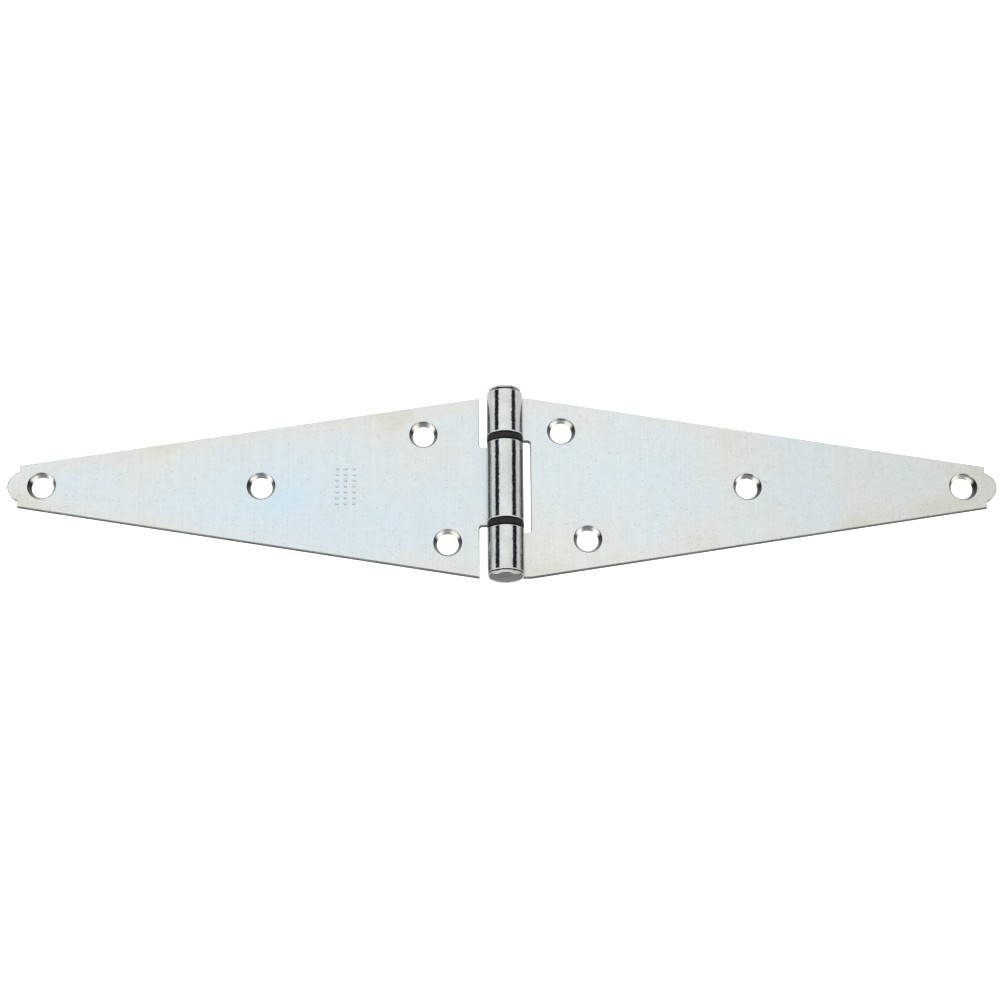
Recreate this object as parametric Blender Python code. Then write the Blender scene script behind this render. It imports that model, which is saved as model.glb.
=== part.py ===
"""A double strap hinge: two tapered leaves rolled round one riveted pin, with a washer in each joint.

The straps lie along X and the pin lies along Y. The backs of the leaves, which screw to the door
and the post, lie in the plane z = 0, and the barrel stands up in front of them.
"""
import math

import bmesh
import bpy

# Driving dimensions, in metres.
STRAP_LENGTH = 0.1524
SHEET = 0.0024
BORE_RADIUS = 0.0032
BARREL_HALF_LENGTH = 0.02915
CENTRE_KNUCKLE_HALF_LENGTH = 0.01265
WASHER_THICKNESS = 0.0018
GAP = 0.0003

# The pin runs in the knuckles, and its two heads hold the barrel together.
PIN_RADIUS = 0.00315
WASHER_BORE_RADIUS = 0.00323
DOMED_HEAD_RADIUS = 0.0055
DOMED_HEAD_RIM = 0.0006
DOMED_HEAD_HEIGHT = 0.0020
RIVETED_HEAD_RADIUS = 0.0050
RIVETED_HEAD_HEIGHT = 0.0011
RIVETED_HEAD_ROUNDING = 0.0005

# The strap tapers from its shoulder, beside the barrel, to a small tip with a round nose.
SHOULDER_X = 0.0079
NOTCH_CORNER_RADIUS = 0.0010
TIP_X = 0.1490
TIP_HALF_WIDTH = 0.0066
NOSE_HALF_WIDTH = 0.0046

# Screw holes, countersunk from the front nearly through the sheet.
HOLE_RADIUS = 0.0033
COUNTERSINK_RADIUS = 0.00425
HOLE_LAND = 0.0004
HOLE_CENTRES = ((0.0176, 0.0182), (0.0252, -0.0170), (0.0749, 0.0), (0.1419, 0.0))

# Sizes that follow from the ones above.
BARREL_RADIUS = BORE_RADIUS + SHEET
AXIS_HEIGHT = BARREL_RADIUS
END_KNUCKLE_START = CENTRE_KNUCKLE_HALF_LENGTH + 2 * GAP + WASHER_THICKNESS
WASHER_CENTRE_Y = CENTRE_KNUCKLE_HALF_LENGTH + GAP + WASHER_THICKNESS / 2
HEAD_SEAT_Y = BARREL_HALF_LENGTH + GAP
ROLL_ANGLE = 2 * math.pi - math.acos(1 - (SHEET + GAP) / BARREL_RADIUS)

# Fineness of the round shapes.
ROLL_STEPS = 50
TURN_STEPS = 60
HOLE_STEPS = 40
NOSE_STEPS = 20
CORNER_STEPS = 5
DOME_STEPS = 8

# How far a cutter reaches past what it cuts.
REACH = 0.002
SMOOTH_ANGLE = math.radians(30)

ZINC = ("zinc_plated_steel", (0.72, 0.74, 0.72), 0.34, 1.0)
PIN_ZINC = ("pin_zinc_plated_steel", (0.66, 0.67, 0.65), 0.30, 1.0)
NYLON = ("black_nylon", (0.018, 0.018, 0.018), 0.55, 0.0)


def clear_scene():
    """Remove every object that the scene holds."""
    for old in list(bpy.data.objects):
        bpy.data.objects.remove(old, do_unlink=True)


def make_material(name, colour, roughness, metallic):
    """Return a Principled material of one colour."""
    material = bpy.data.materials.new(name)
    material.use_nodes = True
    shader = material.node_tree.nodes["Principled BSDF"]
    shader.inputs["Base Color"].default_value = (*colour, 1.0)
    shader.inputs["Roughness"].default_value = roughness
    shader.inputs["Metallic"].default_value = metallic
    return material


def add_object(name, shape, material=None):
    """Turn a bmesh into a named object, smooth on its round faces."""
    mesh = bpy.data.meshes.new(name)
    bmesh.ops.recalc_face_normals(shape, faces=shape.faces)
    shape.to_mesh(mesh)
    shape.free()
    mesh.shade_smooth()
    mesh.set_sharp_from_angle(angle=SMOOTH_ANGLE)
    if material:
        mesh.materials.append(material)
    made = bpy.data.objects.new(name, mesh)
    bpy.context.collection.objects.link(made)
    return made


def arc(centre, radius, start, end, steps):
    """Return points along a circular arc, both ends included; angles in radians."""
    turns = [start + (end - start) * i / steps for i in range(steps + 1)]
    return [(centre[0] + radius * math.cos(t), centre[1] + radius * math.sin(t)) for t in turns]


def prism(corners, depth):
    """Return the solid between a closed 3-D outline and its copy moved by the vector depth."""
    shape = bmesh.new()
    face = shape.faces.new([shape.verts.new(corner) for corner in corners])
    swept = bmesh.ops.extrude_face_region(shape, geom=[face])
    moved = [item for item in swept["geom"] if isinstance(item, bmesh.types.BMVert)]
    bmesh.ops.translate(shape, vec=depth, verts=moved)
    return shape


def turned(profile, steps, hollow=False):
    """Return the solid made by turning (radius, height) points about Z.

    A solid profile is capped at both ends. A hollow one is a closed loop of points.
    """
    shape = bmesh.new()
    turns = [2 * math.pi * i / steps for i in range(steps)]
    rings = []
    for radius, height in profile:
        ring = [shape.verts.new((radius * math.cos(t), radius * math.sin(t), height)) for t in turns]
        rings.append(ring)
    pairs = list(zip(rings, rings[1:]))
    if hollow:
        pairs.append((rings[-1], rings[0]))
    for lower, upper in pairs:
        for i in range(steps):
            j = (i + 1) % steps
            shape.faces.new((lower[i], lower[j], upper[j], upper[i]))
    if not hollow:
        shape.faces.new(reversed(rings[0]))
        shape.faces.new(rings[-1])
    return shape


def add_boolean(target, cutter, operation):
    """Cut the target with another object, which stays in the scene as a hidden guide."""
    cutter.hide_render = True
    cutter.display_type = "WIRE"
    cutter.parent = target
    step = target.modifiers.new(cutter.name, "BOOLEAN")
    step.operation = operation
    step.solver = "EXACT"
    step.object = cutter


def rolled_sheet_section():
    """Return the section of the sheet in X and Z, from the nose to the end of the roll.

    Heights are measured from the pin's axis. The sheet runs in under the pin, rolls up over it
    and stops just above its own front face.
    """
    turns = [ROLL_ANGLE * i / ROLL_STEPS for i in range(ROLL_STEPS + 1)]
    outside = [(-BARREL_RADIUS * math.sin(t), -BARREL_RADIUS * math.cos(t)) for t in turns]
    inside = [(-BORE_RADIUS * math.sin(t), -BORE_RADIUS * math.cos(t)) for t in reversed(turns)]
    far = STRAP_LENGTH + REACH
    return [(far, -BARREL_RADIUS)] + outside + inside + [(far, -BORE_RADIUS)]


def tip_outline():
    """Return the plan of the strap's tip, from its lower corner round the nose to its upper one."""
    rise = STRAP_LENGTH - TIP_X
    radius = (NOSE_HALF_WIDTH ** 2 + rise ** 2) / (2 * rise)
    half_angle = math.asin(NOSE_HALF_WIDTH / radius)
    nose = arc((STRAP_LENGTH - radius, 0), radius, -half_angle, half_angle, NOSE_STEPS)
    return [(TIP_X, -TIP_HALF_WIDTH)] + nose + [(TIP_X, TIP_HALF_WIDTH)]


def notch_corner(edge_y, side):
    """Return the rounded inner corner of the notch above (side 1) or below (side -1) a knuckle."""
    centre = (SHOULDER_X - NOTCH_CORNER_RADIUS, edge_y + side * NOTCH_CORNER_RADIUS)
    corner = arc(centre, NOTCH_CORNER_RADIUS, 0, -side * math.pi / 2, CORNER_STEPS)
    return corner if side > 0 else corner[::-1]


def knuckle_outline(low, high):
    """Return the plan round one knuckle, from its upper edge down to its lower one."""
    beyond = -BARREL_RADIUS - REACH
    outer = BARREL_HALF_LENGTH
    upper = notch_corner(high, 1) if high < outer else [(SHOULDER_X, high)]
    lower = notch_corner(low, -1) if low > -outer else [(SHOULDER_X, low)]
    return upper + [(beyond, high), (beyond, low)] + lower


def leaf_outline(knuckles):
    """Return the whole plan of a leaf whose knuckles span the given (low, high) stretches, top first."""
    plan = tip_outline()
    if knuckles[0][1] < BARREL_HALF_LENGTH:
        plan.append((SHOULDER_X, BARREL_HALF_LENGTH))
    for low, high in knuckles:
        plan += knuckle_outline(low, high)
    if knuckles[-1][0] > -BARREL_HALF_LENGTH:
        plan.append((SHOULDER_X, -BARREL_HALF_LENGTH))
    return plan


def add_hole_cutter(leaf, number, centre):
    """Cut one screw hole: a short straight land at the back, then a cone out to the front."""
    front = SHEET - BARREL_RADIUS
    slope = (COUNTERSINK_RADIUS - HOLE_RADIUS) / (SHEET - HOLE_LAND)
    profile = (
        (HOLE_RADIUS, -BARREL_RADIUS - REACH),
        (HOLE_RADIUS, HOLE_LAND - BARREL_RADIUS),
        (COUNTERSINK_RADIUS + slope * REACH, front + REACH),
    )
    cutter = add_object(f"{leaf.name}_hole_{number}", turned(profile, HOLE_STEPS))
    cutter.location = (*centre, 0)
    add_boolean(leaf, cutter, "DIFFERENCE")


def add_leaf(name, knuckles, material):
    """Make one leaf with its strap along +X and its origin on the pin's axis."""
    width = BARREL_HALF_LENGTH + REACH
    section = [(x, -width, z) for x, z in rolled_sheet_section()]
    leaf = add_object(name, prism(section, (0, 2 * width, 0)), material)
    depth = BARREL_RADIUS + REACH
    plan = [(x, y, -depth) for x, y in leaf_outline(knuckles)]
    blank = add_object(name + "_blank", prism(plan, (0, 0, 2 * depth)))
    add_boolean(leaf, blank, "INTERSECT")
    for number, centre in enumerate(HOLE_CENTRES, start=1):
        add_hole_cutter(leaf, number, centre)
    return leaf


def domed_head_profile():
    """Return the domed head's half section, from its crown up to the pin."""
    crown = DOMED_HEAD_HEIGHT - DOMED_HEAD_RIM
    rim_y = -HEAD_SEAT_Y - DOMED_HEAD_RIM
    turns = [math.pi / 2 * i / DOME_STEPS for i in range(1, DOME_STEPS + 1)]
    dome = [(DOMED_HEAD_RADIUS * math.sin(t), rim_y - crown * math.cos(t)) for t in turns]
    return dome + [(DOMED_HEAD_RADIUS, -HEAD_SEAT_Y), (PIN_RADIUS, -HEAD_SEAT_Y)]


def riveted_head_profile():
    """Return the half section of the riveted head, from the pin up to its flat end."""
    top = HEAD_SEAT_Y + RIVETED_HEAD_HEIGHT
    centre = (RIVETED_HEAD_RADIUS - RIVETED_HEAD_ROUNDING, top - RIVETED_HEAD_ROUNDING)
    rounding = arc(centre, RIVETED_HEAD_ROUNDING, 0, math.pi / 2, CORNER_STEPS)
    return [(PIN_RADIUS, HEAD_SEAT_Y), (RIVETED_HEAD_RADIUS, HEAD_SEAT_Y)] + rounding


def add_pin(material):
    """Make the pin with its domed head at one end and its riveted head at the other."""
    profile = domed_head_profile() + riveted_head_profile()
    return add_object("pin", turned(profile, TURN_STEPS), material)


def add_washer(name, centre_y, material):
    """Make one flat washer as wide as the barrel."""
    half = WASHER_THICKNESS / 2
    profile = (
        (WASHER_BORE_RADIUS, half),
        (WASHER_BORE_RADIUS, -half),
        (BARREL_RADIUS, -half),
        (BARREL_RADIUS, half),
    )
    washer = add_object(name, turned(profile, TURN_STEPS, hollow=True), material)
    washer.location.y = centre_y
    return washer


def main():
    clear_scene()
    zinc = make_material(*ZINC)
    pin_zinc = make_material(*PIN_ZINC)
    nylon = make_material(*NYLON)

    axis = bpy.data.objects.new("hinge_axis", None)
    axis.location.z = AXIS_HEIGHT
    bpy.context.collection.objects.link(axis)

    centre_knuckle = [(-CENTRE_KNUCKLE_HALF_LENGTH, CENTRE_KNUCKLE_HALF_LENGTH)]
    end_knuckles = [
        (END_KNUCKLE_START, BARREL_HALF_LENGTH),
        (-BARREL_HALF_LENGTH, -END_KNUCKLE_START),
    ]
    fixed_leaf = add_leaf("leaf_two_knuckles", end_knuckles, zinc)
    moving_leaf = add_leaf("leaf_one_knuckle", centre_knuckle, zinc)
    moving_leaf.rotation_euler.z = math.pi

    pin = add_pin(pin_zinc)
    upper_washer = add_washer("upper_washer", WASHER_CENTRE_Y, nylon)
    lower_washer = add_washer("lower_washer", -WASHER_CENTRE_Y, nylon)
    for turned_piece in (pin, upper_washer, lower_washer):
        turned_piece.rotation_euler.x = -math.pi / 2
    for piece in (fixed_leaf, moving_leaf, pin, upper_washer, lower_washer):
        piece.parent = axis


main()
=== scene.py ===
import math

import bmesh
import bpy
from mathutils import Matrix, Vector, noise
from mathutils.geometry import delaunay_2d_cdt


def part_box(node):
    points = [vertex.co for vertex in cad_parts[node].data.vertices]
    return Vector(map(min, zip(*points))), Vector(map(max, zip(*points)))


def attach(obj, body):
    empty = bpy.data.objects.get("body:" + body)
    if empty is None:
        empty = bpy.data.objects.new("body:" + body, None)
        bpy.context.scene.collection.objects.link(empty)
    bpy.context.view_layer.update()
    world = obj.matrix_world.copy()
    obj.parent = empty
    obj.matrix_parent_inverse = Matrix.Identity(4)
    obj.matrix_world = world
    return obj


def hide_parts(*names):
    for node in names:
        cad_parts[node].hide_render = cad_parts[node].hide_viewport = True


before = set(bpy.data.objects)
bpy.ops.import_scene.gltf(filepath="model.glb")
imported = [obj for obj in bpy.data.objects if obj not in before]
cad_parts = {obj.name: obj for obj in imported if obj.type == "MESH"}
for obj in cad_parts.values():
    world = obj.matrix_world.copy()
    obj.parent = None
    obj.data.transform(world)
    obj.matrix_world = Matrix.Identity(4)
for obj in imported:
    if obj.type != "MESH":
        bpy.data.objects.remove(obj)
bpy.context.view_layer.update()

MM = 0.001

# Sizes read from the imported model.
LEAF_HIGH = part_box("leaf_two_knuckles")[1]
WASHER_LOW, WASHER_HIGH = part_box("upper_washer")
PIN_LOW, PIN_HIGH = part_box("pin")
STRAP_LENGTH = LEAF_HIGH.x
BARREL_HALF_LENGTH = LEAF_HIGH.y
BARREL_RADIUS = LEAF_HIGH.z / 2
WASHER_THICKNESS = WASHER_HIGH.y - WASHER_LOW.y
WASHER_CENTRE_Y = (WASHER_HIGH.y + WASHER_LOW.y) / 2
AXIS = Vector((0, 0, BARREL_RADIUS))

# Sizes repeated from the model's design.
SHEET = 2.4 * MM
GAP = 0.3 * MM
SHOULDER_X = 7.9 * MM
TIP_X = 149.0 * MM
TIP_HALF_WIDTH = 6.6 * MM
NOSE_HALF_WIDTH = 4.6 * MM
NOTCH_CORNER_RADIUS = 1.0 * MM
HOLE_RADIUS = 3.3 * MM
COUNTERSINK_RADIUS = 4.25 * MM
HOLE_LAND = 0.4 * MM
HOLE_CENTRES = [(17.6 * MM, 18.2 * MM), (25.2 * MM, -17.0 * MM), (74.9 * MM, 0.0), (141.9 * MM, 0.0)]
PIN_RADIUS = 3.15 * MM
DOMED_HEAD_RADIUS = 5.5 * MM
RIVETED_HEAD_RADIUS = 5.0 * MM
WASHER_BORE_RADIUS = 3.23 * MM

CENTRE_KNUCKLE_HALF_LENGTH = WASHER_LOW.y - GAP
END_KNUCKLE_START = WASHER_HIGH.y + GAP
HEAD_SEAT_Y = BARREL_HALF_LENGTH + GAP
ROLL_ANGLE = 2 * math.pi - math.acos(1 - (SHEET + GAP) / BARREL_RADIUS)
NEUTRAL_RADIUS = BARREL_RADIUS - SHEET / 2
ROLL_LENGTH = NEUTRAL_RADIUS * ROLL_ANGLE

# Rounding of the stamped edges, front and back, and of the screw holes' rims.
FRONT_ROUNDING = 0.30 * MM
BACK_ROUNDING = 0.35 * MM
HOLE_ROUNDING = 0.18 * MM
# Width of the flat strip beside each rounding, which keeps the shading of the flat faces even.
FLAT_MARGIN = 0.12 * MM

ROLL_STEPS = 100
TURN_STEPS = 128
HOLE_STEPS = 72
NOSE_STEPS = 36
NOTCH_STEPS = 8
ROUNDING_STEPS = 4
DIMPLE_STEPS = 16
CAP_STEPS = 12
DOMED_RIM_STEPS = 10
RIVETED_RIM_STEPS = 6
WASHER_CORNER_STEPS = 4

# A punch mark's rings from its flat margin to its middle: (radius, depth).
DIMPLE_RINGS = [
    (0.65 * MM, 0),
    (0.52 * MM, 0),
    (0.43 * MM, 0.04 * MM),
    (0.27 * MM, 0.15 * MM),
    (0.10 * MM, 0.20 * MM),
]
SMOOTH_ANGLE = math.radians(40)
# How near two points must be, in millimetres, to be taken as one when a face is filled.
FILL_TOLERANCE = 1e-7
# The soft dents in the pin: their depth, and how closely they follow each other.
DENT_DEPTH = 0.04 * MM
DENTS_PER_METRE = 900

# The plain block of punch marks, in the strap's own frame: its first mark, and its rows and columns.
STAMP_START = Vector((46.4 * MM, -5.6 * MM))
STAMP_ROWS, STAMP_ROW_STEP = 3, 2.6 * MM
STAMP_COLUMNS, STAMP_COLUMN_STEP = 7, 1.9 * MM

# Which material slot a face of a leaf takes.
FACE, SHEARED_PAINTED_DARK, ROLLED, HOLE = 0, 1, 2, 3


# ---------------------------------------------------------------- node trees

# Sockets of a Mix node that mixes colours.
MIX_FACTOR, MIX_FIRST, MIX_SECOND, MIX_RESULT = 0, 6, 7, 2


class Tree:
    """A short way to write a node tree, for a material or the sky."""

    def __init__(self, tree, coordinates="Object"):
        self.tree = tree
        sources = self.add("ShaderNodeTexCoord").outputs
        self.place = sources[coordinates]
        self.normal = sources["Normal"]

    def add(self, kind, inputs=None, **settings):
        """Add a node with its settings, each input fed a value or another node's socket."""
        node = self.tree.nodes.new(kind)
        for key, value in settings.items():
            setattr(node, key, value)
        for key, value in (inputs or {}).items():
            self.feed(node.inputs[key], value)
        return node

    def feed(self, socket, value):
        """Link a socket to the input, or set the input to a plain value."""
        if isinstance(value, bpy.types.NodeSocket):
            self.tree.links.new(value, socket)
        else:
            socket.default_value = value

    def math(self, operation, *values):
        """Return the result of one sum."""
        inputs = dict(enumerate(values))
        return self.add("ShaderNodeMath", inputs, operation=operation).outputs[0]

    def scaled(self, scale, turn=0.0, shift=(0, 0, 0)):
        """Return the place, scaled by axis, turned about Z and shifted."""
        inputs = {"Vector": self.place, "Scale": scale, "Rotation": (0, 0, turn), "Location": shift}
        return self.add("ShaderNodeMapping", inputs).outputs[0]

    def noise(self, scale, detail=2.0, roughness=0.5, vector=None, distortion=0.0):
        """Return a soft noise, at the place unless another vector is given."""
        inputs = {"Vector": vector or self.place, "Scale": scale, "Detail": detail}
        inputs |= {"Roughness": roughness, "Distortion": distortion}
        return self.add("ShaderNodeTexNoise", inputs).outputs[0]

    def band(self, value, low, high):
        """Map low..high to 0..1 smoothly; high may be the smaller one."""
        inputs = {"Value": value, "From Min": low, "From Max": high}
        return self.add("ShaderNodeMapRange", inputs, interpolation_type="SMOOTHSTEP").outputs[0]

    def span(self, value, low, high, to_low, to_high, clamp=True):
        """Map low..high to to_low..to_high in a straight line."""
        inputs = {"Value": value, "From Min": low, "From Max": high, "To Min": to_low, "To Max": to_high}
        return self.add("ShaderNodeMapRange", inputs, clamp=clamp).outputs[0]

    def mix(self, factor, first, second, blend="MIX"):
        """Return two colours mixed."""
        node = self.add("ShaderNodeMix", data_type="RGBA", blend_type=blend)
        for index, value in ((MIX_FACTOR, factor), (MIX_FIRST, first), (MIX_SECOND, second)):
            self.feed(node.inputs[index], value)
        return node.outputs[MIX_RESULT]

    def split(self, vector):
        """Return the x, y and z sockets of a vector."""
        return self.add("ShaderNodeSeparateXYZ", {"Vector": vector}).outputs

    def spread(self, value, low, high):
        """Map the middle range of a noise, 0.3 to 0.7, to low..high."""
        return self.span(value, 0.3, 0.7, low, high)


def grey(level):
    """Return an opaque grey."""
    return (level, level, level, 1)


# ---------------------------------------------------------------- camera, floor and light

CAMERA_DISTANCE = 0.600
CAMERA_TILT = math.radians(19.2)
CAMERA_SWING = math.radians(-1.41)
CAMERA_ROLL = math.radians(-0.44)
CAMERA_TARGET = Vector((-1.52 * MM, -3.65 * MM, 0))
CAMERA_LENS = 70.06

# The floor lies below the lowest reach of a leaf that swings down.
FLOOR_Z = -160 * MM
PLATE_Z = -0.05 * MM
FLOOR_HALF = 3.0
PLATE_HALF = 0.6
FLOOR_WHITE = 0.9
FLOOR_GLOW = 0.35
PLATE_GLOW = 1.05
# The grey plate in front of the barrel lies this far above the white one.
FRONT_PLATE_LIFT = 0.02 * MM
FRONT_PLATE_GLOW = 0.38
FRONT_PLATE_HALF = 45 * MM
FRONT_PLATE_REACH = 300 * MM
FLAG_GLOW = 0.022
FLAG_COLOUR = (0.75, 0.95, 1.35, 1)
FLAG_DISTANCE = 1.4
FLAG_LOW_Y = 0.10
FLAG_HIGH_Y = 0.95
# The spans of angles from the zenith that the flags cover, in degrees.
LEFT_FLAG_SPAN = (-68.5, -40.5)
RIGHT_FLAG_SPAN = (41.5, 69.5)

SKY_STRENGTH = 1.42
# How much of the sky's strength is left in its dimmer parts.
SKY_LOW_FRONT = 0.20
SKY_LOW_BACK = 0.30
SKY_SIDES = 0.85
SKY_RIGHT_HALF = 0.87


def add_camera():
    """Look down on the hinge from a little below its middle."""
    data = bpy.data.cameras.new("camera")
    data.lens = CAMERA_LENS
    data.clip_start = 0.01
    camera = bpy.data.objects.new("camera", data)
    bpy.context.scene.collection.objects.link(camera)
    away = Vector((
        math.sin(CAMERA_SWING),
        -math.sin(CAMERA_TILT) * math.cos(CAMERA_SWING),
        math.cos(CAMERA_TILT) * math.cos(CAMERA_SWING),
    ))
    right = Vector((0, 1, 0)).cross(away).normalized()
    up = away.cross(right)
    turned_right = right * math.cos(CAMERA_ROLL) + up * math.sin(CAMERA_ROLL)
    turned_up = up * math.cos(CAMERA_ROLL) - right * math.sin(CAMERA_ROLL)
    facing = Matrix((turned_right, turned_up, away)).transposed()
    camera.matrix_world = Matrix.Translation(CAMERA_TARGET + away * CAMERA_DISTANCE) @ facing.to_4x4()
    bpy.context.scene.camera = camera


def plain_material(name, level, glow=0.0, glow_colour=(1, 1, 1, 1)):
    """Return a dull grey material for the studio, which may shine by itself."""
    material = bpy.data.materials.new(name)
    material.use_nodes = True
    shader = material.node_tree.nodes["Principled BSDF"]
    shader.inputs["Base Color"].default_value = grey(level)
    shader.inputs["Roughness"].default_value = 0.9
    shader.inputs["Specular IOR Level"].default_value = 0
    shader.inputs["Emission Color"].default_value = glow_colour
    shader.inputs["Emission Strength"].default_value = glow
    return material


def add_card(name, corners, material):
    """Add one flat four-cornered card to the studio."""
    mesh = bpy.data.meshes.new(name)
    mesh.from_pydata(corners, [], [(0, 1, 2, 3)])
    mesh.materials.append(material)
    card = bpy.data.objects.new(name, mesh)
    bpy.context.scene.collection.objects.link(card)
    return card


def add_level_card(name, half, height, material):
    """Add a square level card, centred under the hinge."""
    corners = [(x * half, y * half, height) for x, y in ((-1, -1), (1, -1), (1, 1), (-1, 1))]
    return add_card(name, corners, material)


def show_in_reflections_only(card):
    """Hide a card from everything but glossy surfaces."""
    card.visible_camera = False
    card.visible_diffuse = False
    card.visible_shadow = False


def add_front_plate(material):
    """Add the grey plate in front of the barrel, which the pin's domed head reflects."""
    near, far = PIN_LOW.y, PIN_LOW.y - FRONT_PLATE_REACH
    height = PLATE_Z + FRONT_PLATE_LIFT
    half = FRONT_PLATE_HALF
    corners = [(-half, far, height), (half, far, height), (half, near, height), (-half, near, height)]
    show_in_reflections_only(add_card("front_plate", corners, material))


def add_side_flag(name, span, material):
    """Add a dark flag along Y that covers a span of angles from the zenith, in degrees."""
    (near_x, near_z), (far_x, far_z) = (
        (FLAG_DISTANCE * math.sin(math.radians(turn)), FLAG_DISTANCE * math.cos(math.radians(turn)))
        for turn in span
    )
    corners = [
        (near_x, FLAG_LOW_Y, near_z),
        (near_x, FLAG_HIGH_Y, near_z),
        (far_x, FLAG_HIGH_Y, far_z),
        (far_x, FLAG_LOW_Y, far_z),
    ]
    show_in_reflections_only(add_card(name, corners, material))


def add_sky():
    """Light the scene evenly from all round, dimmer low in front, low behind and to the sides."""
    world = bpy.data.worlds.new("sky")
    bpy.context.scene.world = world
    world.use_nodes = True
    sky = Tree(world.node_tree, "Generated")
    x, y, z = sky.split(sky.place)
    # forward is 1 towards +Y and -1 towards -Y, at any height above the horizon.
    level = sky.math("SQRT", sky.math("SUBTRACT", 1.0, sky.math("MULTIPLY", z, z)))
    forward = sky.math("DIVIDE", y, sky.math("MAXIMUM", level, 0.001))
    front = sky.math("MULTIPLY", sky.band(forward, -0.84, -0.94), sky.band(z, 0.72, 0.62))
    back = sky.math("MULTIPLY", sky.band(forward, 0.5, 0.85), sky.band(z, 0.50, 0.30))
    sides = sky.band(sky.math("ABSOLUTE", x), 0.80, 0.92)
    right_half = sky.band(x, 0.0, 0.6)
    strength = sky.span(front, 0, 1, SKY_STRENGTH, SKY_STRENGTH * SKY_LOW_FRONT)
    for part, share in ((back, SKY_LOW_BACK), (sides, SKY_SIDES), (right_half, SKY_RIGHT_HALF)):
        strength = sky.math("MULTIPLY", strength, sky.span(part, 0, 1, 1.0, share))
    # The sky itself looks as white as the floor.
    seen = sky.add("ShaderNodeLightPath").outputs["Is Camera Ray"]
    strength = sky.math("MAXIMUM", strength, sky.math("MULTIPLY", seen, SKY_STRENGTH))
    background = world.node_tree.nodes["Background"]
    background.inputs["Color"].default_value = (1, 1, 1, 1)
    sky.feed(background.inputs["Strength"], strength)


def add_studio():
    """A white floor, and two plates and two dark flags that only the metal reflects."""
    bpy.context.scene.view_settings.view_transform = "Standard"
    floor_white = plain_material("floor_white", FLOOR_WHITE, FLOOR_GLOW)
    floor = add_level_card("floor", FLOOR_HALF, FLOOR_Z, floor_white)
    floor.visible_glossy = False
    plate_white = plain_material("plate_white", 0.0, PLATE_GLOW)
    show_in_reflections_only(add_level_card("plate", PLATE_HALF, PLATE_Z, plate_white))
    add_front_plate(plain_material("plate_grey", 0.0, FRONT_PLATE_GLOW))
    flag_dark = plain_material("flag_dark", 0.0, FLAG_GLOW, FLAG_COLOUR)
    add_side_flag("left_flag", LEFT_FLAG_SPAN, flag_dark)
    add_side_flag("right_flag", RIGHT_FLAG_SPAN, flag_dark)
    add_sky()


# ---------------------------------------------------------------- mesh helpers

def add_piece(name, shape, materials, node, body):
    """Make a piece from a bmesh: smooth, riding on its body, in place of its plain solid."""
    mesh = bpy.data.meshes.new(name)
    bmesh.ops.recalc_face_normals(shape, faces=shape.faces)
    shape.to_mesh(mesh)
    shape.free()
    mesh.shade_smooth()
    mesh.set_sharp_from_angle(angle=SMOOTH_ANGLE)
    for material in materials:
        mesh.materials.append(material)
    piece = bpy.data.objects.new(name, mesh)
    bpy.context.scene.collection.objects.link(piece)
    weighted = piece.modifiers.new("weighted_normals", "WEIGHTED_NORMAL")
    weighted.keep_sharp = True
    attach(piece, body)
    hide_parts(node)
    return piece


def full_circle(steps):
    """Return evenly spaced angles once round, the end left out."""
    return [2 * math.pi * i / steps for i in range(steps)]


def arc(centre, radius, start, end, steps):
    """Return points along a circular arc, both ends included; angles in radians."""
    turns = [start + (end - start) * i / steps for i in range(steps + 1)]
    return [(centre[0] + radius * math.cos(t), centre[1] + radius * math.sin(t)) for t in turns]


def join_rings(shape, rings, slots=None, closed=False):
    """Bridge each ring of vertices to the next with quads; slots gives each bridge's material slot."""
    pairs = list(zip(rings, rings[1:]))
    if closed:
        pairs.append((rings[-1], rings[0]))
    for level, (lower, upper) in enumerate(pairs):
        count = len(lower)
        for i in range(count):
            j = (i + 1) % count
            face = shape.faces.new((lower[i], lower[j], upper[j], upper[i]))
            face.material_index = slots[level] if slots else FACE


def turned(profile, closed=False, roughen=0.0):
    """Return a bmesh turned about the pin's axis from (radius, y) points; an end at radius 0 is a point.

    roughen moves each vertex along its radius by up to that much, in soft dents.
    """
    shape = bmesh.new()
    rings = []
    for radius, y in profile:
        if radius == 0:
            rings.append([shape.verts.new((0, y, AXIS.z))])
            continue
        ring = []
        for t in full_circle(TURN_STEPS):
            place = Vector((radius * math.cos(t), y, radius * math.sin(t)))
            dent = roughen * noise.noise(place * DENTS_PER_METRE)
            place *= 1 + dent / place.length
            ring.append(shape.verts.new(place + AXIS))
        rings.append(ring)
    full = [ring for ring in rings if len(ring) > 1]
    join_rings(shape, full, closed=closed)
    for point, ring in ((rings[0], full[0]), (rings[-1], full[-1])):
        if len(point) == 1:
            for i in range(TURN_STEPS):
                shape.faces.new((point[0], ring[i], ring[(i + 1) % TURN_STEPS]))
    return shape


# ---------------------------------------------------------------- the leaves, rolled from flat blanks

def tip_plan():
    """Return the plan of the strap's tip, from its lower corner round the nose to its upper one."""
    rise = STRAP_LENGTH - TIP_X
    radius = (NOSE_HALF_WIDTH ** 2 + rise ** 2) / (2 * rise)
    half_angle = math.asin(NOSE_HALF_WIDTH / radius)
    nose = arc((STRAP_LENGTH - radius, 0), radius, -half_angle, half_angle, NOSE_STEPS)
    return [(TIP_X, -TIP_HALF_WIDTH)] + nose + [(TIP_X, TIP_HALF_WIDTH)]


def roll_side(edge_y):
    """Return the points down one side of a knuckle's tab, from the start of the roll to its end."""
    return [(-ROLL_LENGTH * i / ROLL_STEPS, edge_y) for i in range(ROLL_STEPS + 1)]


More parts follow.
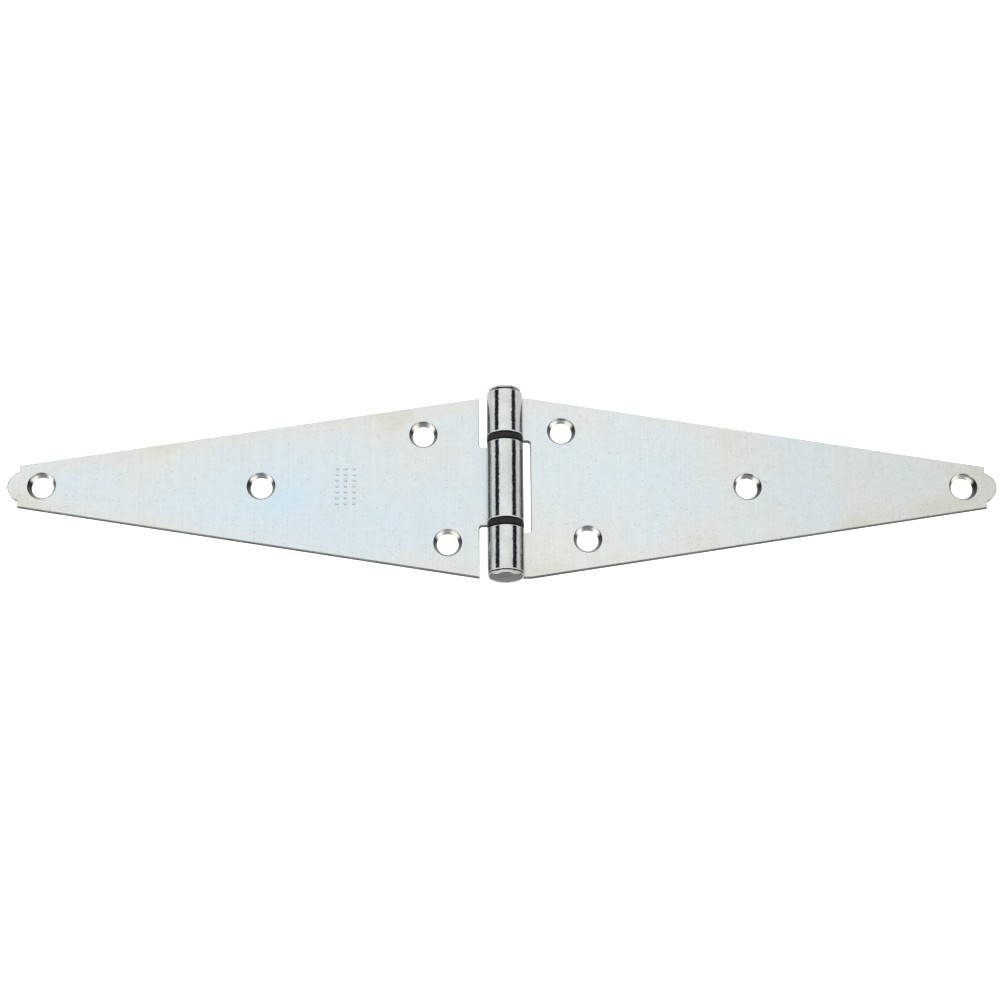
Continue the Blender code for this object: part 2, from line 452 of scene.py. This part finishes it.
def notch_corner(edge_y, side):
    """Return the inner corner of the notch above (side 1) or below (side -1) a knuckle.

    It runs inwards, and is empty where the knuckle ends at the leaf's own edge.
    """
    if abs(edge_y) >= BARREL_HALF_LENGTH:
        return []
    centre = (SHOULDER_X - NOTCH_CORNER_RADIUS, edge_y + side * NOTCH_CORNER_RADIUS)
    return arc(centre, NOTCH_CORNER_RADIUS, 0, -side * math.pi / 2, NOTCH_STEPS)


def blank_plan(knuckles):
    """Return the outline of the flat blank, and the indices down the two sides of each knuckle."""
    plan = tip_plan()
    plan.append((SHOULDER_X, BARREL_HALF_LENGTH))
    sides = []
    for low, high in knuckles:
        plan += notch_corner(high, 1)
        top = len(plan)
        plan += roll_side(high)
        bottom = len(plan)
        plan += roll_side(low)[::-1]
        plan += notch_corner(low, -1)[::-1]
        sides.append((range(top, bottom), range(bottom + ROLL_STEPS, bottom - 1, -1)))
    plan.append((SHOULDER_X, -BARREL_HALF_LENGTH))
    return plan, sides


def edge_profile():
    """Return the sheet's edge from front to back as (inset, height, slot of the face below)."""
    quarter = [math.pi / 2 * i / ROUNDING_STEPS for i in range(ROUNDING_STEPS + 1)]
    front = [(FRONT_ROUNDING + FLAT_MARGIN, SHEET, FACE)]
    front += [
        (FRONT_ROUNDING * (1 - math.sin(t)), SHEET - FRONT_ROUNDING * (1 - math.cos(t)), FACE)
        for t in quarter
    ]
    back = [
        (BACK_ROUNDING * (1 - math.cos(t)), BACK_ROUNDING * (1 - math.sin(t)), FACE)
        for t in quarter
    ]
    back.append((BACK_ROUNDING + FLAT_MARGIN, 0, FACE))
    # The steepest step of the front rounding and the wall below it take the sheared edge's colour, which
    # draws a painted dark outline along the front edge.
    front[-2:] = [(inset, height, SHEARED_PAINTED_DARK) for inset, height, _ in front[-2:]]
    return front + back


def inset_ring(outline, inset):
    """Return the closed outline moved inwards, mitred at its corners. It runs anticlockwise."""
    ring = []
    count = len(outline)
    for i in range(count):
        here = Vector(outline[i])
        ahead = (Vector(outline[(i + 1) % count]) - here).normalized()
        behind = (here - Vector(outline[i - 1])).normalized()
        inward = Vector((-behind.y, behind.x)) + Vector((-ahead.y, ahead.x))
        ring.append(here + inward * (inset / (1 + behind.dot(ahead))))
    return ring


def bend(u, v, w):
    """Place a point of the flat blank on the rolled leaf: u along the strap, v along the pin, w up."""
    if u >= 0:
        return Vector((u, v, w))
    turn = -u / NEUTRAL_RADIUS
    radius = BARREL_RADIUS - w
    return Vector((-radius * math.sin(turn), v, BARREL_RADIUS - radius * math.cos(turn)))


def hole_rings():
    """Return a screw hole's rings from front to back as (radius, height, slot of the face below)."""
    slope = (COUNTERSINK_RADIUS - HOLE_RADIUS) / (SHEET - HOLE_LAND)
    soft = HOLE_ROUNDING
    return [
        (COUNTERSINK_RADIUS + soft + FLAT_MARGIN, SHEET, FACE),
        (COUNTERSINK_RADIUS + soft * 0.8, SHEET, HOLE),
        (COUNTERSINK_RADIUS + soft * 0.30, SHEET - soft * 0.2, HOLE),
        (COUNTERSINK_RADIUS - slope * soft, SHEET - soft, HOLE),
        (HOLE_RADIUS + slope * soft, HOLE_LAND + soft, HOLE),
        (HOLE_RADIUS, HOLE_LAND - soft * 0.3, HOLE),
        (HOLE_RADIUS, soft, HOLE),
        (HOLE_RADIUS + soft * 0.3, soft * 0.3, FACE),
        (HOLE_RADIUS + soft, 0, FACE),
        (HOLE_RADIUS + soft + FLAT_MARGIN, 0, FACE),
    ]


def circle_ring(centre, radius, steps):
    """Return a circle on the flat blank as a closed ring of points."""
    return [
        Vector((centre[0] + radius * math.cos(t), centre[1] + radius * math.sin(t)))
        for t in full_circle(steps)
    ]


def is_inside(point, outline):
    """Tell whether a point lies within a closed outline."""
    inside = False
    for a, b in zip(outline, outline[1:] + outline[:1]):
        if (a.y > point.y) != (b.y > point.y):
            if point.x < a.x + (b.x - a.x) * (point.y - a.y) / (b.y - a.y):
                inside = not inside
    return inside


def fill_sheet(shape, loops, cross_lines):
    """Fill between the first loop and the ones inside it, with the rolled part in its own slot.

    Each loop is a list of (flat point, vertex). cross_lines are pairs of the first loop's indices,
    joined by an edge across the knuckle. The filling works in millimetres.
    """
    points, verts, edges = [], [], []
    for loop in loops:
        start = len(points)
        count = len(loop)
        edges += [(start + i, start + (i + 1) % count) for i in range(count)]
        points += [point / MM for point, _ in loop]
        verts += [vert for _, vert in loop]
    edges += cross_lines
    outline = [point / MM for point, _ in loops[0]]
    inner = [[point / MM for point, _ in loop] for loop in loops[1:]]
    placed, _, faces, origins, _, _ = delaunay_2d_cdt(points, edges, [], 0, FILL_TOLERANCE)
    for face in faces:
        middle = sum((placed[i] for i in face), Vector((0, 0))) / len(face)
        if not is_inside(middle, outline) or any(is_inside(middle, hole) for hole in inner):
            continue
        made = shape.faces.new([verts[origins[i][0]] for i in face])
        made.material_index = ROLLED if middle.x < 0 else FACE


def leaf_mesh(knuckles, stamp):
    """Return the bmesh of one leaf with its strap along +X."""
    shape = bmesh.new()
    plan, sides = blank_plan(knuckles)
    profile = edge_profile()
    flats, rings = [], []
    for inset, height, _ in profile:
        flat = inset_ring(plan, inset)
        flats.append(flat)
        rings.append([shape.verts.new(bend(p.x, p.y, height)) for p in flat])
    join_rings(shape, rings, [slot for _, _, slot in profile])
    front = [list(zip(flats[0], rings[0]))]
    back = [list(zip(flats[-1], rings[-1]))]
    hole = hole_rings()
    for centre in HOLE_CENTRES:
        hole_flats = [circle_ring(centre, radius, HOLE_STEPS) for radius, _, _ in hole]
        hole_verts = [
            [shape.verts.new(bend(p.x, p.y, height)) for p in flat]
            for flat, (_, height, _) in zip(hole_flats, hole)
        ]
        join_rings(shape, hole_verts, [slot for _, _, slot in hole])
        front.append(list(zip(hole_flats[0], hole_verts[0])))
        back.append(list(zip(hole_flats[-1], hole_verts[-1])))
    for centre in stamp:
        front.append(add_dimple(shape, centre))
    cross_lines = [(a, b) for high, low in sides for a, b in zip(high, low)]
    fill_sheet(shape, front, cross_lines)
    fill_sheet(shape, back, cross_lines)
    return shape


def add_dimple(shape, centre):
    """Add the bowl of one small punch mark and return its rim as a loop."""
    flats = [circle_ring(centre, radius, DIMPLE_STEPS) for radius, _ in DIMPLE_RINGS]
    rings = [
        [shape.verts.new((p.x, p.y, SHEET - depth)) for p in flat]
        for flat, (_, depth) in zip(flats, DIMPLE_RINGS)
    ]
    join_rings(shape, rings)
    shape.faces.new(rings[-1])
    return list(zip(flats[0], rings[0]))


def punched_marks():
    """Return the places of a plain block of punch marks."""
    return [
        STAMP_START + Vector((STAMP_ROW_STEP * row, STAMP_COLUMN_STEP * column))
        for row in range(STAMP_ROWS)
        for column in range(STAMP_COLUMNS)
    ]


def add_leaf(name, knuckles, half_turn, stamp, materials, body):
    """Make one leaf, turned half round the vertical if it points along -X."""
    shape = leaf_mesh(knuckles, stamp)
    if half_turn:
        bmesh.ops.rotate(shape, matrix=Matrix.Rotation(math.pi, 3, "Z"), verts=shape.verts)
    piece = add_piece(name + "_rolled", shape, materials, name, body)


# ---------------------------------------------------------------- pin and washers

def domed_head():
    """Return the lower head's profile: a shallow cap, a round rim and the flat under the knuckle."""
    rim = 1.3 * MM
    cap_angle = math.radians(18)
    cap_edge = DOMED_HEAD_RADIUS - rim * (1 - math.sin(cap_angle))
    cap_radius = cap_edge / math.sin(cap_angle)
    cap_end = cap_angle - math.pi / 2
    cap = arc((0, PIN_LOW.y + cap_radius), cap_radius, -math.pi / 2, cap_end, CAP_STEPS)
    cap[0] = (0, PIN_LOW.y)
    rim_centre = (DOMED_HEAD_RADIUS - rim, cap[-1][1] + rim * math.cos(cap_angle))
    rounded = arc(rim_centre, rim, cap_end, 0, DOMED_RIM_STEPS)
    return cap + rounded[1:] + [(DOMED_HEAD_RADIUS, -HEAD_SEAT_Y)]


def riveted_head():
    """Return the upper head's profile: undercut, rounded and dished in the middle."""
    top = PIN_HIGH.y
    rim = 0.5 * MM
    undercut = 0.35 * MM
    dish = 0.25 * MM
    seat = [
        (RIVETED_HEAD_RADIUS - undercut, HEAD_SEAT_Y),
        (RIVETED_HEAD_RADIUS, HEAD_SEAT_Y + undercut),
    ]
    rim_centre = (RIVETED_HEAD_RADIUS - rim, top - rim)
    rounded = arc(rim_centre, rim, 0, math.pi / 2, RIVETED_RIM_STEPS)
    dished = [
        (3.0 * MM, top - 0.02 * MM),
        (2.3 * MM, top - dish),
        (0.9 * MM, top - dish * 1.1),
        (0, top - dish),
    ]
    return seat + rounded[1:] + dished


def add_pin(material):
    """Make the pin, with a forged domed head below and a flatter riveted head above."""
    shank = [(PIN_RADIUS, -HEAD_SEAT_Y), (PIN_RADIUS, HEAD_SEAT_Y)]
    profile = domed_head() + shank + riveted_head()
    shape = turned(profile, roughen=DENT_DEPTH)
    piece = add_piece("pin_riveted", shape, [material], "pin", "fixed_leaf")


def add_washer(name, centre_y, material):
    """Make one nylon washer with soft corners."""
    half = WASHER_THICKNESS / 2
    soft = 0.22 * MM
    low, high = centre_y - half, centre_y + half
    outer, bore = BARREL_RADIUS, WASHER_BORE_RADIUS
    profile = [(bore, high - soft), (bore, low + soft), (bore + soft, low)]
    profile += arc((outer - soft, low + soft), soft, -math.pi / 2, 0, WASHER_CORNER_STEPS)
    profile += arc((outer - soft, high - soft), soft, 0, math.pi / 2, WASHER_CORNER_STEPS)
    profile.append((bore + soft, high))
    piece = add_piece(name + "_ring", turned(profile, closed=True), [material], name, name)


# ---------------------------------------------------------------- materials

def new_material(name, metallic):
    """Return a new material, its tree and its shader."""
    material = bpy.data.materials.new(name)
    material.use_nodes = True
    shader = material.node_tree.nodes["Principled BSDF"]
    shader.inputs["Metallic"].default_value = metallic
    return material, Tree(material.node_tree), shader


def bumps(tree, shader, height, strength):
    """Let a height from 0 to 1, in tenths of a millimetre, bend the surface's normal."""
    inputs = {"Height": height, "Strength": strength, "Distance": 0.1 * MM}
    tree.feed(shader.inputs["Normal"], tree.add("ShaderNodeBump", inputs).outputs[0])


def scratches(tree, turn, fineness, seed):
    """Return a few thin, broken lines that run at one angle, as 0 to 1."""
    along = tree.scaled((12, fineness, 12), turn, (seed, seed * 2.3, 0))
    lines = tree.noise(1, 1.5, 0.5, along)
    middle = tree.math("ABSOLUTE", tree.math("SUBTRACT", lines, 0.5))
    thin = tree.band(middle, 0.012, 0.003)
    broken = tree.band(tree.noise(48, 1, 0.5, tree.scaled((1, 1, 1), turn, (seed, 0, 0))), 0.68, 0.76)
    return tree.math("MULTIPLY", thin, broken)


def specks(tree, scale, size, share):
    """Return small scattered pits as 0 to 1; share is the part of the grid's cells that holds one."""
    inputs = {"Vector": tree.place, "Scale": scale, "Randomness": 1.0}
    cells = tree.add("ShaderNodeTexVoronoi", inputs, voronoi_dimensions="2D")
    pick = tree.add("ShaderNodeSeparateColor", {"Color": cells.outputs["Color"]})
    reach = tree.span(pick.outputs[1], 0, 1, size * 0.3, size)
    ragged = tree.spread(tree.noise(3000, 2), 0.5, 1.5)
    near = tree.band(cells.outputs["Distance"], tree.math("MULTIPLY", reach, ragged), 0.0)
    chosen = tree.math("LESS_THAN", pick.outputs[0], share)
    return tree.math("MULTIPLY", near, chosen)


# The chromate film's colour as it thickens: (thickness, colour).
FILM = [
    (0.00, (0.466, 0.560, 0.606)),
    (0.30, (0.482, 0.560, 0.590)),
    (0.55, (0.510, 0.553, 0.563)),
    (0.78, (0.531, 0.549, 0.530)),
    (1.00, (0.506, 0.513, 0.464)),
]


def film_colour(tree, thickness):
    """Return the film's colour for its thickness."""
    node = tree.add("ShaderNodeValToRGB", {"Fac": thickness})
    ramp = node.color_ramp
    while len(ramp.elements) < len(FILM):
        ramp.elements.new(0.5)
    for element, (place, colour) in zip(ramp.elements, FILM):
        element.position = place
        element.color = (*colour, 1)
    return node.outputs[0]


# The film's clouds, from wide to fine: (noise scale, detail, how much the thickness varies).
CLOUDS = [(24, 1, 0.48), (80, 2, 0.24), (330, 2, 0.06)]


def film_thickness(tree, thin_centre, thin_reach, thinnest, edge_rise):
    """Return the film's thickness: thin about one place, thick at the edges, and cloudy."""
    x, y, _ = tree.split(tree.place)
    slope = (BARREL_HALF_LENGTH - TIP_HALF_WIDTH) / (TIP_X - SHOULDER_X)
    narrowing = tree.math("MULTIPLY", tree.math("ABSOLUTE", x), slope)
    half_width = tree.math("SUBTRACT", BARREL_HALF_LENGTH, narrowing)
    from_edge = tree.math("SUBTRACT", half_width, tree.math("ABSOLUTE", y))
    edge = tree.band(from_edge, 6 * MM, 0.5 * MM)
    squares = []
    for value, centre, reach in zip((x, y), thin_centre, thin_reach):
        off = tree.span(value, centre, centre + reach, 0, 1, clamp=False)
        squares.append(tree.math("MULTIPLY", off, off))
    far = tree.math("SQRT", tree.math("ADD", *squares))
    thickness = tree.span(far, 0.2, 1.6, thinnest, 0.68)
    thickness = tree.math("ADD", thickness, tree.math("MULTIPLY", edge, edge_rise))
    for scale, detail, amount in CLOUDS:
        cloud = tree.noise(scale, detail, 0.45, distortion=0.4)
        thickness = tree.math("ADD", thickness, tree.spread(cloud, -amount / 2, amount / 2))
    return thickness


def even_shade(tree):
    """Return the tone of a strap that is as bright everywhere."""
    return 1.0


def shade_towards_tip(tree):
    """Return the tone of a strap that darkens a little from the barrel to its tip."""
    x, _, _ = tree.split(tree.place)
    return tree.span(x, 40 * MM, 150 * MM, 1.015, 0.92)


def zinc_leaf(name, film, grain_share, shade):
    """Zinc plate under a clear chromate film: pale, with faint blue, lilac and cream clouds."""
    material, tree, shader = new_material(name, 1.0)
    colour = film_colour(tree, film_thickness(tree, **film))
    lines = tree.noise(1, 3, 0.6, tree.scaled((1300, 30, 30)))
    grain = tree.noise(2300, 2, 0.7)
    mottle = tree.noise(520, 3, 0.65)
    grains = tree.spread(grain, -grain_share, grain_share)
    tone = tree.math("ADD", tree.spread(lines, -0.022, 0.022), grains)
    tone = tree.math("ADD", tone, tree.spread(mottle, -0.03, 0.03))
    tone = tree.math("ADD", tone, shade(tree))
    tones = tree.add("ShaderNodeCombineColor", {"Red": tone, "Green": tone, "Blue": tone}).outputs[0]
    colour = tree.mix(1.0, colour, tones, "MULTIPLY")
    pits = tree.math("MAXIMUM", specks(tree, 430, 0.16, 0.30), specks(tree, 900, 0.22, 0.25))
    colour = tree.mix(tree.math("MULTIPLY", pits, 0.45), colour, grey(0.16))
    marks = tree.math("MAXIMUM", scratches(tree, 0.5, 210, 1.7), scratches(tree, -0.8, 240, 5.1))
    colour = tree.mix(tree.math("MULTIPLY", marks, 0.16), colour, grey(0.25))
    tree.feed(shader.inputs["Base Color"], colour)
    worn = tree.math("ADD", mottle, marks)
    tree.feed(shader.inputs["Roughness"], tree.span(worn, 0.3, 1.3, 0.20, 0.38))
    height = tree.math("ADD", tree.math("MULTIPLY", grain, 0.6), tree.math("MULTIPLY", lines, 0.3))
    height = tree.math("SUBTRACT", height, pits)
    bumps(tree, shader, height, 0.10)
    return material


def zinc_barrel(name, low, high):
    """Zinc on rolled or drawn steel: brighter, with a fine orange-peel grain."""
    material, tree, shader = new_material(name, 1.0)
    cloud = tree.noise(150, 3, 0.6)
    grain = tree.noise(2400, 2.5, 0.7)
    peel = tree.noise(900, 2, 0.5)
    colour = tree.mix(tree.band(cloud, 0.3, 0.7), (*low, 1), (*high, 1))
    colour = tree.mix(tree.math("MULTIPLY", tree.band(grain, 0.48, 0.75), 0.26), colour, grey(0.2))
    tree.feed(shader.inputs["Base Color"], colour)
    tree.feed(shader.inputs["Roughness"], tree.spread(peel, 0.07, 0.14))
    bumps(tree, shader, tree.math("ADD", tree.math("MULTIPLY", grain, 0.6), peel), 0.3)
    return material


def zinc_countersink_painted_light():
    """The cut walls of the screw holes, with painted light set by which way each wall faces: a painted
    highlight where it turns some way from -Y, a painted grey reflection where it faces -Y most, and
    painted shade on the rest.
    """
    material, tree, shader = new_material("zinc_countersink_painted_light", 1.0)
    cloud = tree.noise(110, 2, 0.5)
    _, facing, _ = tree.split(tree.normal)
    around = tree.math("ADD", tree.math("MULTIPLY", facing, -1.1), tree.spread(cloud, -0.08, 0.08))
    # The colours below are painted light: a bright cream painted highlight, a grey painted reflection on
    # the walls facing -Y most, and near-black painted shade elsewhere.
    painted_band = tree.band(around, 0.32, 0.66)
    middle = tree.band(around, 0.84, 1.0)
    rings = tree.noise(1, 2, 0.5, tree.scaled((60, 60, 4000)))
    painted_highlight = tree.mix(tree.band(cloud, 0.35, 0.65), (0.90, 0.86, 0.76, 1), (0.93, 0.93, 0.90, 1))
    painted_highlight = tree.mix(middle, painted_highlight, (0.20, 0.21, 0.22, 1))
    painted_shade = tree.mix(tree.band(around, -0.6, 0.3), (0.06, 0.058, 0.05, 1), (0.02, 0.02, 0.018, 1))
    colour = tree.mix(painted_band, painted_shade, painted_highlight)
    tree.feed(shader.inputs["Base Color"], colour)
    tree.feed(shader.inputs["Roughness"], tree.spread(rings, 0.12, 0.22))
    bumps(tree, shader, rings, 0.1)
    return material


def zinc_sheared(name, painted_band, torn_painted_dark):
    """The sheared edge of the sheet: a burnish band above a torn, darker one, both in near-black colours
    that are painted shade.
    """
    material, tree, shader = new_material(name, 1.0)
    _, _, height = tree.split(tree.place)
    tear = tree.noise(1, 4, 0.7, tree.scaled((700, 700, 160)))
    wander = tree.noise(350, 2, 0.5)
    level = tree.math("ADD", height, tree.spread(wander, -0.4 * MM, 0.4 * MM))
    torn = tree.band(level, 1.5 * MM, 1.1 * MM)
    # Both bands' near-black colours are painted shade; the banding itself is the real edge.
    colour = tree.mix(torn, painted_band, torn_painted_dark)
    colour = tree.mix(tree.math("MULTIPLY", tree.band(tear, 0.45, 0.65), 0.85), colour, grey(0.02))
    tree.feed(shader.inputs["Base Color"], colour)
    tree.feed(shader.inputs["Roughness"], tree.span(torn, 0, 1, 0.28, 0.55))
    bumps(tree, shader, tear, 0.8)
    return material


def black_nylon():
    """Black nylon with a faint moulded grain and a little dust."""
    material, tree, shader = new_material("black_nylon_moulded", 0.0)
    dust = tree.noise(700, 4, 0.7)
    grain = tree.noise(3500, 2, 0.6)
    colour = tree.mix(tree.band(dust, 0.55, 0.85), (0.008, 0.008, 0.008, 1), (0.03, 0.029, 0.027, 1))
    tree.feed(shader.inputs["Base Color"], colour)
    tree.feed(shader.inputs["Roughness"], tree.spread(dust, 0.42, 0.60))
    shader.inputs["Specular IOR Level"].default_value = 0.25
    bumps(tree, shader, grain, 0.12)
    return material


# ---------------------------------------------------------------- the whole hinge

add_camera()
add_studio()

right_film = {
    "thin_centre": (56 * MM, -4 * MM),
    "thin_reach": (24 * MM, 12 * MM),
    "thinnest": 0.36,
    "edge_rise": 0.08,
}
left_film = {
    "thin_centre": (-66 * MM, -2 * MM),
    "thin_reach": (52 * MM, 20 * MM),
    "thinnest": 0.26,
    "edge_rise": 0.18,
}
rolled = zinc_barrel("zinc_rolled", (0.46, 0.48, 0.46), (0.55, 0.57, 0.555))
countersink = zinc_countersink_painted_light()
# The sheared edges' near-black colours are painted shade, darker on the right leaf than on the left.
right_edge = zinc_sheared("zinc_right_edge_painted_dark", (0.03, 0.03, 0.032, 1), (0.012, 0.012, 0.013, 1))
left_edge = zinc_sheared("zinc_left_edge_painted_dark", (0.085, 0.08, 0.07, 1), (0.04, 0.038, 0.033, 1))
right_face = zinc_leaf("zinc_right_leaf", right_film, 0.045, shade_towards_tip)
left_face = zinc_leaf("zinc_left_leaf", left_film, 0.025, even_shade)
right_materials = [right_face, right_edge, rolled, countersink]
left_materials = [left_face, left_edge, rolled, countersink]

end_knuckles = [
    (END_KNUCKLE_START, BARREL_HALF_LENGTH),
    (-BARREL_HALF_LENGTH, -END_KNUCKLE_START),
]
centre_knuckle = [(-CENTRE_KNUCKLE_HALF_LENGTH, CENTRE_KNUCKLE_HALF_LENGTH)]
add_leaf("leaf_two_knuckles", end_knuckles, False, [], right_materials, "fixed_leaf")
add_leaf("leaf_one_knuckle", centre_knuckle, True, punched_marks(), left_materials, "swinging_leaf")
add_pin(zinc_barrel("zinc_pin", (0.40, 0.41, 0.40), (0.50, 0.51, 0.50)))
nylon = black_nylon()
add_washer("upper_washer", WASHER_CENTRE_Y, nylon)
add_washer("lower_washer", -WASHER_CENTRE_Y, nylon)
